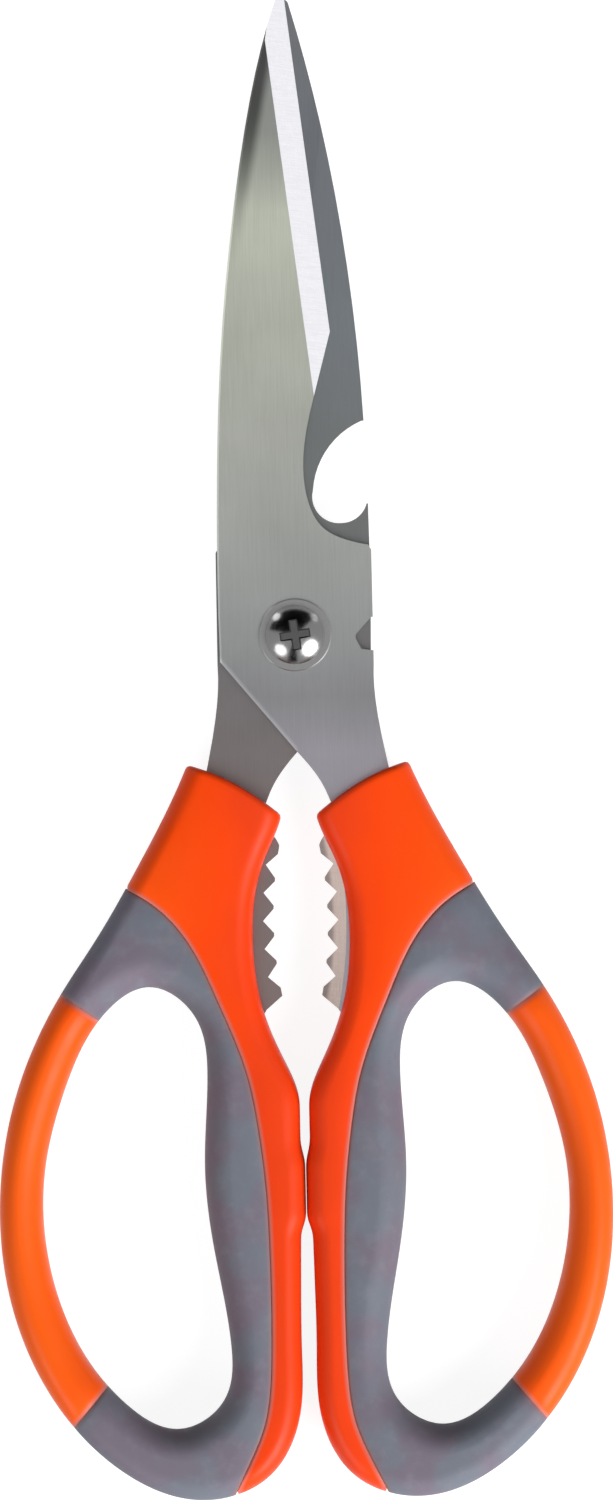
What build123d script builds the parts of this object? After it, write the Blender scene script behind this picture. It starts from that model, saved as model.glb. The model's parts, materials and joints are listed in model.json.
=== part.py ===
"""Kitchen shears with a bottle opener in one blade and nutcracker jaws between the handles.

The shears lie flat and closed: X runs across them, +Y points from the finger loops to the
blade tips and +Z points up from the table. The origin is at the bottom centre of the closed
shears. Outlines are drawn around the pivot, so their points are shares of the reach and
width of the blade or handle that they follow, with the front half on the right at the
handles. The rear half is the front half turned over, so its side is -1.
"""

import os
from math import asin, cos, degrees, radians, sin, sqrt

from build123d import *

# Overall sizes of the closed shears, in millimetres.
blade_reach = 89.5  # pivot to blade tips
handle_reach = 120.8  # pivot to the lowest point of the finger loops
blade_half_width = 10.7  # centre line to the back of a blade beside the pivot
loop_half_width = 42.9  # centre line to the outside of a finger loop
handle_thickness = 10.5

# Blades.
blade_thickness = 2.0
blade_gap = 0.06  # between the two flat inner faces
bevel_width = 3.45
edge_land = 0.25  # steel left at the cutting edge
edge_angle = 6.7  # degrees between a cutting edge and the centre line
spine_chamfer = 0.25
hollow_depth = 0.1  # hollow grinding of the inner face
hollow_width = 7.0
small_notch_round = 0.8
lock_hole_radius = 1.7

# Nutcracker jaws.
tooth_count = 6
tooth_pitch = 3.85
tooth_depth = 1.5
tooth_flat = 0.5
jaw_sag = 1.0  # how far the middle of the jaw stands back
tooth_land = 0.8  # steel left at the tooth tips
jaw_bevel_width = 2.6
jaw_runout = 2.0  # how far the jaw's bevel runs on past its ends

# Pivot.
barrel_radius = 3.0
turning_clearance = 0.05
seat_clearance = 0.02
screw_radius = 1.7
thread_clearance = 0.03
head_radius = 4.1
head_rim = 0.4
dome_rise = 1.7
dome_shoulder_share = 0.62
dome_height_share = 0.66
recess_length = 4.0
recess_width = 0.9
recess_depth = 1.1
recess_taper_angle = 12.0
recess_turn_angle = 8.0
washer_radius = 5.1
washer_thickness = 0.5
washer_chamfer = 0.15
nut_across_flats = 9.0
nut_chamfer = 0.5
screw_end_gap = 0.4
spring_radius = 4.3
spring_thickness = 0.35
spring_height = 0.7

# Handles.
outer_round = 2.4
opening_round = 2.8
head_round = 0.7
grip_wall = 2.0  # soft grip around the hidden core rib
rib_height = 5.0
stop_gap = 0.1  # between the two stop pads when the shears are closed

overrun = 3.0  # how far every cut runs past what it cuts

# Heights above the table.
middle_height = handle_thickness / 2
front_inner = middle_height + blade_gap / 2
front_outer = front_inner + blade_thickness
rear_inner = middle_height - blade_gap / 2
rear_outer = rear_inner - blade_thickness
washer_bottom = front_outer + turning_clearance
washer_top = washer_bottom + washer_thickness
flange_top = rear_outer - spring_height

pivot_y = (handle_reach - blade_reach) / 2

# Back of each blade, from the lower corner to just below the tip.
front_spine_shares = [
    (-0.988, -0.040), (-1.0, 0.067), (-0.981, 0.247), (-0.925, 0.404),
    (-0.790, 0.581), (-0.575, 0.760), (-0.299, 0.915), (-0.098, 0.993),
]
rear_spine_shares = [
    (-0.988, -0.040), (-1.0, 0.067), (-0.981, 0.247), (-0.920, 0.404),
    (-0.773, 0.581), (-0.533, 0.760), (-0.243, 0.915), (-0.075, 0.989),
]

# Cutting edges: the start, and how high each one ends and its heel leaves the bevel.
edge_start_share = (0.024, 0.9945)
front_edge_end_share = 0.474
front_heel_share = 0.3775
rear_edge_end_share = 0.2755
rear_heel_share = 0.192

# Recess under the heel of each blade, from the heel to the corner beside the pivot.
front_recess_shares = [
    (0.210, 0.325), (0.150, 0.263), (0.196, 0.213), (0.393, 0.167), (0.679, 0.148), (0.979, 0.139),
]
rear_recess_shares = [(0.510, 0.163), (0.679, 0.148), (0.979, 0.139)]
shoulder_shares = [(1.019, 0.131), (1.023, -0.045)]
crotch_share = (0.008, -0.184)

# Bottle opener in the back of the rear blade, and the small notch in the edge of the front one.
opener_top_shares = [(0.925, 0.334), (0.510, 0.297), (0.274, 0.227)]
opener_bottom_shares = [(0.383, 0.184), (0.640, 0.174)]
opener_hook_share = (0.972, 0.204)
small_notch_shares = [(1.0, 0.026), (0.775, -0.0035), (0.865, -0.024), (1.0, -0.026)]

# Shank and tang of a half, in shares of the handle, down its outer side and back up inside.
shank_outer_shares = [
    (0.267, -0.099), (0.294, -0.149), (0.315, -0.190), (0.315, -0.232), (0.287, -0.298),
    (0.247, -0.373), (0.214, -0.418),
]
tang_end_shares = [(0.170, -0.445), (0.117, -0.434)]
jaw_bottom_share = (0.065, -0.418)
jaw_top_share = (0.065, -0.244)
shank_inner_shares = [(0.088, -0.230), (0.116, -0.215), (0.107, -0.195), (0.068, -0.166)]
lock_hole_shares = [(0.236, -0.222), (0.222, -0.296)]

# Handle outline: down the outer side, round the bottom and up the inner side, then the throat.
handle_outer_shares = [
    (0.294, -0.083), (0.604, -0.309), (0.670, -0.342), (0.995, -0.620), (0.966, -0.776),
    (0.804, -0.898), (0.631, -0.962), (0.348, -1.0), (0.100, -0.961), (0.035, -0.906),
    (0.022, -0.750), (0.015, -0.546),
]
handle_throat_shares = [
    (0.080, -0.479), (0.095, -0.467), (0.140, -0.288), (0.059, -0.210), (0.037, -0.141),
]
head_end_shares = [(0.020, -0.219), (0.234, -0.1655), (0.45, -0.139)]
finger_opening_shares = [
    (0.547, -0.408), (0.647, -0.436), (0.787, -0.528), (0.853, -0.620), (0.732, -0.830),
    (0.625, -0.880), (0.412, -0.917), (0.251, -0.853), (0.254, -0.832), (0.326, -0.641),
    (0.317, -0.489), (0.318, -0.476),
]

# Most of the loop's thinnest wall that the rounds of its two sides may take.
outer_round_share = 0.41
opening_round_share = 0.48

# Where the soft grip meets the hard core: down the inside, then around the outside.
grip_inner_shares = [
    (0.646, -0.277), (0.404, -0.337), (0.303, -0.401), (0.229, -0.463), (0.121, -0.773),
    (0.150, -0.913), (0.262, -1.005), (0.284, -1.027),
]
grip_outer_shares = [
    (0.932, -1.027), (0.886, -0.960), (0.677, -0.873), (0.606, -0.844), (0.606, -0.458),
    (0.691, -0.436), (0.886, -0.385), (0.886, -0.277),
]
stop_pad_shares = [(0.028, -0.589), (0.028, -0.692)]
stop_face_shares = [-0.614, -0.672]

# Lengths along the cutting edges.
edge_share_length = blade_reach / cos(radians(edge_angle))
front_edge_length = (edge_start_share[1] - front_edge_end_share) * edge_share_length
front_heel_run = (front_edge_end_share - front_heel_share) * edge_share_length
rear_edge_length = (edge_start_share[1] - rear_edge_end_share) * edge_share_length
rear_heel_run = (rear_edge_end_share - rear_heel_share) * edge_share_length


def level(height):
    """Return the sketch plane at a height above the table, centred on the pivot."""
    return Plane(origin=(0, pivot_y, height))


def scaled(shares, width, length, side):
    """Turn pairs of shares into points around the pivot, mirrored for side -1."""
    return [(side * x * width, y * length) for x, y in shares]


def blade_points(shares, side):
    """Turn shares of the blade's half width and reach into points."""
    return scaled(shares, blade_half_width, blade_reach, side)


def handle_points(shares, side):
    """Turn shares of the loop's half width and the handle's reach into points."""
    return scaled(shares, loop_half_width, handle_reach, side)


def smooth_run(points, start=None, finish=None, closed=False):
    """Return a run of tangent arcs through points, two arcs from each point to the next.

    At a point the run goes the way of the circle through it and its neighbours. At an open end
    it keeps to the last such circle, unless the way there is given.
    """
    places = [Vector(*point) for point in points]
    if closed:
        places = [places[-1], *places, *places[:2]]
    steps = [there - here for here, there in zip(places, places[1:])]
    ways = [
        (first.normalized() * second.length + second.normalized() * first.length).normalized()
        for first, second in zip(steps, steps[1:])
    ]
    if closed:
        places = places[1:-1]
    else:
        first, last = steps[0].normalized(), steps[-1].normalized()
        ways.insert(0, start or first * 2 * first.dot(ways[0]) - ways[0])
        ways.append(finish or last * 2 * last.dot(ways[-1]) - ways[-1])
    with BuildLine() as run:
        for here, there, way, next_way in zip(places, places[1:], ways, ways[1:]):
            step = there - here
            along = step.dot(way + next_way)
            turn = 2 * (1 - way.dot(next_way))
            arm = step.length**2 / (along + sqrt(along**2 + turn * step.length**2))
            corner, next_corner = here + way * arm, there - next_way * arm
            meeting = (corner + next_corner) / 2
            TangentArc(here, meeting, tangent=way)
            TangentArc(meeting, there, tangent=next_corner - corner)
    return run.line


def edge_vectors(side):
    """Return the start of a cutting edge, the way it runs and the way it faces."""
    start = Vector(*blade_points([edge_start_share], side)[0])
    along = Vector(side * sin(radians(edge_angle)), -cos(radians(edge_angle)))
    outward = Vector(side * cos(radians(edge_angle)), sin(radians(edge_angle)))
    return start, along, outward


def blade_face(side, spine_shares, edge_length, heel_run, recess_shares):
    """Return the outline of one blade from its tip to the pivot, without its shank."""
    start, along, outward = edge_vectors(side)
    edge_end = start + along * edge_length
    heel = edge_end + along * heel_run - outward * bevel_width
    recess = blade_points(recess_shares, side)
    shoulder = blade_points(shoulder_shares, side)
    crotch = blade_points([crotch_share], side)[0]
    with BuildSketch() as outline:
        with BuildLine():
            spine = Spline(blade_points(spine_shares, side))
            TangentArc(spine @ 1, start, tangent=spine % 1)
            Polyline(start, edge_end, heel)
            Spline(heel, *recess)
            Polyline(recess[-1], *shoulder, crotch, spine @ 0)
        make_face()
    return outline.sketch


def tang_face(side):
    """Return the outline of a shank and tang, with a plain jaw and the lock holes."""
    shoulder = blade_points(shoulder_shares, side)[-1]
    crotch = blade_points([crotch_share], side)[0]
    outer = handle_points(shank_outer_shares, side)
    end = handle_points(tang_end_shares, side)
    jaw_bottom, jaw_top = handle_points([jaw_bottom_share, jaw_top_share], side)
    inner = handle_points(shank_inner_shares, side)
    jaw_middle = (jaw_top[0] + side * jaw_sag, (jaw_top[1] + jaw_bottom[1]) / 2)
    with BuildSketch() as outline:
        with BuildLine():
            Spline(shoulder, *outer)
            ThreePointArc(outer[-1], end[0], end[1])
            Line(end[1], jaw_bottom)
            ThreePointArc(jaw_bottom, jaw_middle, jaw_top)
            Spline(jaw_top, *inner, crotch)
            Line(crotch, shoulder)
        make_face()
        with Locations(*handle_points(lock_hole_shares, side)):
            Circle(lock_hole_radius, mode=Mode.SUBTRACT)
    return outline.sketch


def grind_bevel(side, outer_height, edge_length, heel_run):
    """Grind the flat bevel of a cutting edge into the outer face."""
    start, along, outward = edge_vectors(side)
    corner = start - along * overrun - outward * bevel_width
    drop = blade_thickness - edge_land
    reach = bevel_width + overrun
    across = Plane(
        origin=(corner.X, corner.Y + pivot_y, outer_height), x_dir=outward, z_dir=along
    )
    with BuildSketch(across) as wedge:
        with BuildLine():
            Polyline((0, 0), (reach, -drop * reach / bevel_width), (reach, overrun), (0, 0))
        make_face()
    extrude(wedge.sketch, amount=overrun + edge_length + heel_run, mode=Mode.SUBTRACT)


def grind_hollow(side, inner_height, edge_length):
    """Grind the inner face hollow behind the edge, with a wheel of large radius."""
    start, along, outward = edge_vectors(side)
    wheel_radius = (hollow_width**2 / 4 + hollow_depth**2) / (2 * hollow_depth)
    middle = start - outward * (hollow_width / 2 + edge_land)
    across = Plane(
        origin=(middle.X, middle.Y + pivot_y, inner_height), x_dir=outward, z_dir=along
    )
    with BuildSketch(across) as wheel:
        with Locations((0, hollow_depth - wheel_radius)):
            Circle(wheel_radius)
    extrude(wheel.sketch, amount=edge_length, mode=Mode.SUBTRACT)


def jaw_arc(side):
    """Return the centre and radius of the arc along the tooth tips, and its half angle."""
    jaw_bottom, jaw_top = handle_points([jaw_bottom_share, jaw_top_share], side)
    half_length = (jaw_top[1] - jaw_bottom[1]) / 2
    radius = (half_length**2 + jaw_sag**2) / (2 * jaw_sag)
    centre = (jaw_top[0] + side * (jaw_sag - radius), (jaw_top[1] + jaw_bottom[1]) / 2)
    return centre, radius, degrees(asin(half_length / radius))


def grind_jaw(side, outer_height):
    """Grind the outer face of a jaw down to its teeth: a cone around the centre of its arc."""
    centre, radius, half_angle = jaw_arc(side)
    end_angle = half_angle + degrees(jaw_runout / radius)
    drop = blade_thickness - tooth_land
    reach = jaw_bevel_width + overrun
    across = Plane(
        origin=(centre[0], centre[1] + pivot_y, outer_height),
        x_dir=(side * cos(radians(end_angle)), -sin(radians(end_angle)), 0),
        z_dir=(-side * sin(radians(end_angle)), -cos(radians(end_angle)), 0),
    )
    outer_radius = radius + jaw_bevel_width
    with BuildSketch(across) as wedge:
        with BuildLine():
            Polyline(
                (outer_radius, 0),
                (outer_radius - reach, -drop * reach / jaw_bevel_width),
                (outer_radius - reach, overrun),
                close=True,
            )
        make_face()
    turning = Axis((centre[0], centre[1] + pivot_y, 0), (0, 0, side))
    revolve(wedge.sketch, axis=turning, revolution_arc=2 * end_angle, mode=Mode.SUBTRACT)


def cut_teeth(side, inner_height, outward):
    """Cut the gaps between the teeth of one jaw, evenly spaced along its arc."""
    centre, radius, _ = jaw_arc(side)
    pitch_angle = degrees(tooth_pitch / radius)
    facing = 0 if side > 0 else 180
    gap_half = (tooth_pitch - tooth_flat) / 2
    mouth_half = gap_half * (tooth_depth + tooth_flat) / tooth_depth
    with BuildSketch(level(inner_height)) as gaps:
        with Locations(centre):
            with PolarLocations(
                radius, tooth_count - 1, start_angle=facing - (tooth_count - 2) * pitch_angle / 2,
                angular_range=(tooth_count - 1) * pitch_angle, endpoint=False,
            ):
                Polygon((-tooth_flat, mouth_half), (-tooth_flat, -mouth_half), (tooth_depth, 0), align=None)
    extrude(gaps.sketch, amount=outward * blade_thickness, mode=Mode.SUBTRACT)


def opener_face():
    """Return the bottle opener's outline: a wide arc, a tight arc below and the hook."""
    top = blade_points(opener_top_shares, 1)
    bottom = blade_points(opener_bottom_shares, 1)
    hook = blade_points([opener_hook_share], 1)[0]
    outside = blade_half_width + overrun
    with BuildSketch() as outline:
        with BuildLine():
            upper = ThreePointArc(*top)
            ThreePointArc(top[-1], *bottom)
            TangentArc(bottom[-1], hook, tangent=(1, 0))
            Polyline(hook, (outside, hook[1]), (outside, top[0][1]), upper @ 0)
        make_face()
    return outline.sketch


def small_notch_face():
    """Return the outline of the small pointed notch in the front blade's edge."""
    upper, apex, lower, corner = blade_points(small_notch_shares, 1)
    outside = blade_half_width + overrun
    with BuildSketch() as outline:
        with BuildLine():
            Polyline((outside, upper[1]), upper, apex, lower, corner, (outside, corner[1]), close=True)
        make_face()
        fillet(outline.vertices().sort_by(Axis.X)[0], small_notch_round)
    return outline.sketch


def handle_face(side):
    """Return a whole handle's outline with its finger opening, its head left too long."""
    outer = handle_points(handle_outer_shares, side)
    throat = handle_points(handle_throat_shares, side)
    up = Vector(0, 1)
    with BuildSketch() as outline:
        with BuildLine():
            add(smooth_run(outer, finish=up))
            add(smooth_run([outer[-1], *throat], start=up))
            Line(throat[-1], outer[0])
        make_face()
        with BuildLine():
            add(smooth_run(handle_points(finger_opening_shares, side), closed=True))
        make_face(mode=Mode.SUBTRACT)
    return outline.sketch


def grip_face(side):
    """Return the area that the soft grip takes from a handle, wider than the handle."""
    inner = handle_points(grip_inner_shares, side)
    outer = handle_points(grip_outer_shares, side)
    with BuildSketch() as outline:
        with BuildLine():
            add(smooth_run(inner))
            Polyline(inner[-1], *outer, inner[0])
        make_face()
    return outline.sketch


with BuildPart() as front_blade:
    with BuildSketch(level(front_inner)):
        add(blade_face(1, front_spine_shares, front_edge_length, front_heel_run, front_recess_shares))
        add(tang_face(1))
        add(small_notch_face(), mode=Mode.SUBTRACT)
        Circle(barrel_radius + turning_clearance, mode=Mode.SUBTRACT)
    extrude(amount=blade_thickness)
    chamfer(front_blade.faces().sort_by(Axis.Z)[-1].edges().sort_by(SortBy.LENGTH)[-1], spine_chamfer)
    grind_bevel(1, front_outer, front_edge_length, front_heel_run)
    grind_hollow(1, front_inner, front_edge_length)
    grind_jaw(1, front_outer)
    cut_teeth(1, front_inner, 1)
front_blade.part.label = "front_blade"

with BuildPart() as rear_blade:
    with BuildSketch(level(rear_outer)):
        add(blade_face(-1, rear_spine_shares, rear_edge_length, rear_heel_run, rear_recess_shares))
        add(tang_face(-1))
        Circle(barrel_radius + seat_clearance, mode=Mode.SUBTRACT)
    extrude(amount=blade_thickness)
    chamfer(rear_blade.faces().sort_by(Axis.Z)[0].edges().sort_by(SortBy.LENGTH)[-1], spine_chamfer)
    with BuildSketch(level(rear_outer)):
        add(opener_face())
    extrude(amount=blade_thickness, mode=Mode.SUBTRACT)
    grind_bevel(-1, rear_outer, rear_edge_length, rear_heel_run)
    grind_hollow(-1, rear_inner, rear_edge_length)
    grind_jaw(-1, rear_outer)
    cut_teeth(-1, rear_inner, -1)
rear_blade.part.label = "rear_blade"

# The barrel nut: a hexagon with turned-off corners under a plain barrel, threaded through.
nut_corner_radius = nut_across_flats / 3**0.5
with BuildPart() as pivot_nut:
    with BuildSketch(level(0)):
        Circle(nut_corner_radius)
    extrude(amount=flange_top)
    chamfer(pivot_nut.faces().sort_by(Axis.Z)[0].edges(), nut_chamfer)
    with BuildSketch(level(0)):
        RegularPolygon(nut_corner_radius, side_count=6)
    extrude(amount=flange_top, mode=Mode.INTERSECT)
    with BuildSketch(level(0)):
        Circle(barrel_radius)
    extrude(amount=washer_bottom)
    with BuildSketch(level(0)):
        Circle(screw_radius + thread_clearance)
    extrude(amount=washer_bottom, mode=Mode.SUBTRACT)
pivot_nut.part.label = "pivot_nut"

# The dished washer that presses the rear blade against the front one.
with BuildPart() as spring_washer:
    with BuildSketch(Plane.XZ.offset(-pivot_y)):
        with BuildLine():
            Polyline(
                (barrel_radius + turning_clearance, rear_outer),
                (barrel_radius + turning_clearance, rear_outer - spring_thickness),
                (spring_radius, flange_top),
                (spring_radius, flange_top + spring_thickness),
                close=True,
            )
        make_face()
    revolve(axis=Axis((0, pivot_y, 0), (0, 0, 1)))
spring_washer.part.label = "spring_washer"

with BuildPart() as head_washer:
    with BuildSketch(level(washer_bottom)):
        Circle(washer_radius)
        Circle(screw_radius + thread_clearance, mode=Mode.SUBTRACT)
    extrude(amount=washer_thickness)
    chamfer(head_washer.faces().sort_by(Axis.Z)[-1].outer_wire().edges(), washer_chamfer)
head_washer.part.label = "head_washer"

# The screw: a domed head over a short rim, a cross recess and the shank down to the nut.
with BuildPart() as pivot_screw:
    with BuildSketch(Plane.XZ.offset(-pivot_y)):
        with BuildLine():
            Line((0, washer_top), (head_radius, washer_top))
            Line((head_radius, washer_top), (head_radius, washer_top + head_rim))
            ThreePointArc(
                (head_radius, washer_top + head_rim),
                (head_radius * dome_shoulder_share, washer_top + head_rim + dome_rise * dome_height_share),
                (0, washer_top + head_rim + dome_rise),
            )
            Line((0, washer_top + head_rim + dome_rise), (0, washer_top))
        make_face()
    revolve(axis=Axis((0, pivot_y, 0), (0, 0, 1)))
    with BuildSketch(level(screw_end_gap)):
        Circle(screw_radius)
    extrude(amount=washer_top - screw_end_gap)
    with BuildSketch(level(washer_top + head_rim + dome_rise - recess_depth)):
        for turn in (recess_turn_angle, recess_turn_angle + 90):
            Rectangle(recess_length, recess_width, rotation=turn)
    extrude(amount=recess_depth + overrun, taper=-recess_taper_angle, mode=Mode.SUBTRACT)
pivot_screw.part.label = "pivot_screw"

# One handle as a single body, before it is shared out between core and grip.
thinnest_wall = loop_half_width * (
    max(x for x, y in handle_outer_shares) - max(x for x, y in finger_opening_shares)
)
with BuildPart() as handle_body:
    with BuildSketch(level(0)) as handle_outline:
        add(handle_face(1))
    extrude(amount=handle_thickness)
    flat_faces = handle_body.faces().filter_by(Axis.Z)
    opening_edges = [edge for face in flat_faces for edge in face.inner_wires()[0].edges()]
    fillet(opening_edges, min(opening_round, opening_round_share * thinnest_wall))
    flat_faces = handle_body.faces().filter_by(Axis.Z)
    side_edges = [
        edge for face in flat_faces for edge in face.outer_wire().edges().filter_by(GeomType.CIRCLE)
    ]
    fillet(side_edges, min(outer_round, outer_round_share * thinnest_wall))
    with BuildSketch(level(0)):
        with BuildLine():
            head_end = ThreePointArc(*handle_points(head_end_shares, 1))
            beyond = Vector(0, handle_reach)
            Polyline(head_end @ 1, (head_end @ 1) + beyond, (head_end @ 0) + beyond, head_end @ 0)
        make_face()
    extrude(amount=handle_thickness, mode=Mode.SUBTRACT)
    fillet(handle_body.faces().sort_by(Axis.Y)[-1].edges(), head_round)
    with BuildSketch(level(outer_round)):
        with BuildLine():
            Polyline(
                handle_points([stop_pad_shares[0]], 1)[0],
                (stop_gap / 2, stop_face_shares[0] * handle_reach),
                (stop_gap / 2, stop_face_shares[1] * handle_reach),
                handle_points([stop_pad_shares[1]], 1)[0],
                close=True,
            )
        make_face()
    extrude(amount=handle_thickness - 2 * outer_round)

# The hard rib that runs on inside the soft grip.
with BuildPart() as grip_rib:
    with BuildSketch(level(middle_height - rib_height / 2)):
        add(handle_face(1))
        offset(amount=-grip_wall, mode=Mode.REPLACE)
        add(grip_face(1), mode=Mode.INTERSECT)
    extrude(amount=rib_height)

with BuildPart() as right_grip:
    add(handle_body.part)
    with BuildSketch(level(0)):
        add(grip_face(1))
    extrude(amount=handle_thickness, mode=Mode.INTERSECT)
    add(grip_rib.part, mode=Mode.SUBTRACT)
right_grip.part.label = "right_grip"

with BuildPart() as handle_core:
    add(handle_body.part)
    with BuildSketch(level(0)):
        add(grip_face(1))
    extrude(amount=handle_thickness, mode=Mode.SUBTRACT)
    add(grip_rib.part)

with BuildPart() as right_handle_core:
    add(handle_core.part)
    add(front_blade.part, mode=Mode.SUBTRACT)
right_handle_core.part.label = "right_handle_core"

turn_over = Axis((0, 0, middle_height), (0, 1, 0))
with BuildPart() as left_handle_core:
    add(handle_core.part.rotate(turn_over, 180))
    add(rear_blade.part, mode=Mode.SUBTRACT)
left_handle_core.part.label = "left_handle_core"

with BuildPart() as left_grip:
    add(right_grip.part.rotate(turn_over, 180))
left_grip.part.label = "left_grip"

os.makedirs("parts", exist_ok=True)
for piece in (
    front_blade, rear_blade, pivot_nut, spring_washer, head_washer, pivot_screw,
    right_handle_core, left_handle_core, right_grip, left_grip,
):
    export_step(piece.part, f"parts/{piece.part.label}.step")
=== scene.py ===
"""Kitchen shears with ground steel blades, toothed jaws and two-colour moulded handles.

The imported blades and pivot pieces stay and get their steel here. The hard cores and the soft
grips are new surfaces: each follows the loop round the finger opening with one parameter and
runs across the handle with the other. Lengths in the tables are millimetres in the frame of
the part, X across, Y towards the tips, Z up from the table.
"""

import json
import logging
from dataclasses import dataclass, field
from enum import Enum
from math import pi, radians
from typing import ClassVar

import bpy
import numpy as np
from bpy.types import Material, Node, NodeSocket, NodeTree, Object
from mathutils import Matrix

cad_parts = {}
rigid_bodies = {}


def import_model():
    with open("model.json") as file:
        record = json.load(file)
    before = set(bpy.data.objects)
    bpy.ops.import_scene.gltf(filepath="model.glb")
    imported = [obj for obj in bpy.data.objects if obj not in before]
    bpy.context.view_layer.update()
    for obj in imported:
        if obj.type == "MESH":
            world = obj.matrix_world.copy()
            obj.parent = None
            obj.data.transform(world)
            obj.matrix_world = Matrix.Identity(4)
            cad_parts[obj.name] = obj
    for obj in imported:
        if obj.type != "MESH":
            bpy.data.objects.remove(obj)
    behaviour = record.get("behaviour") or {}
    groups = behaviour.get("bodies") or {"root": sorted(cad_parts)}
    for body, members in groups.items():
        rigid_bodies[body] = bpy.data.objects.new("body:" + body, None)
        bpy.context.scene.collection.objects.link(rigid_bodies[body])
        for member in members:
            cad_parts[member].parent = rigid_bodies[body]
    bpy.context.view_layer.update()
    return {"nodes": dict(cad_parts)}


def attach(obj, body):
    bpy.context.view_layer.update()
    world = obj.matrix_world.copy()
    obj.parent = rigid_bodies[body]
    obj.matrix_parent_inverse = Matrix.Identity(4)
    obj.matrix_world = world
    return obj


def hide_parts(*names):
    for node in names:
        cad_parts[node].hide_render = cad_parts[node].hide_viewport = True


for stray in list(bpy.data.objects):
    bpy.data.objects.remove(stray)
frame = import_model()

log = logging.getLogger("shears")

# Metres in a millimetre, and the least divisor of a crossing or a length.
MM = 0.001
TINY = 1e-12
# The part of a noise pattern's range that holds nearly all of it.
NOISE_MIDDLE = (0.3, 0.7)
# Spacing of the points of a handle's rim in millimetres, and how many places are measured
# against a run at a time.
RING_STEP = 0.15
BLOCK = 3000
# Attribute with the distance to the seam, and the angle from which an edge stays sharp.
SEAM_NAME = "seam_mm"
SHARP_DEGREES = 50.0


class Side(Enum):
    """The half of the shears that a handle belongs to, with the sign of its X."""

    RIGHT = 1
    LEFT = -1

    @property
    def body(self) -> str:
        """Name of the body that this half's handle moves with."""
        return "front_half" if self is Side.RIGHT else "rear_half"

    @property
    def word(self) -> str:
        """The side in words, for names."""
        return self.name.lower()


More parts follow.
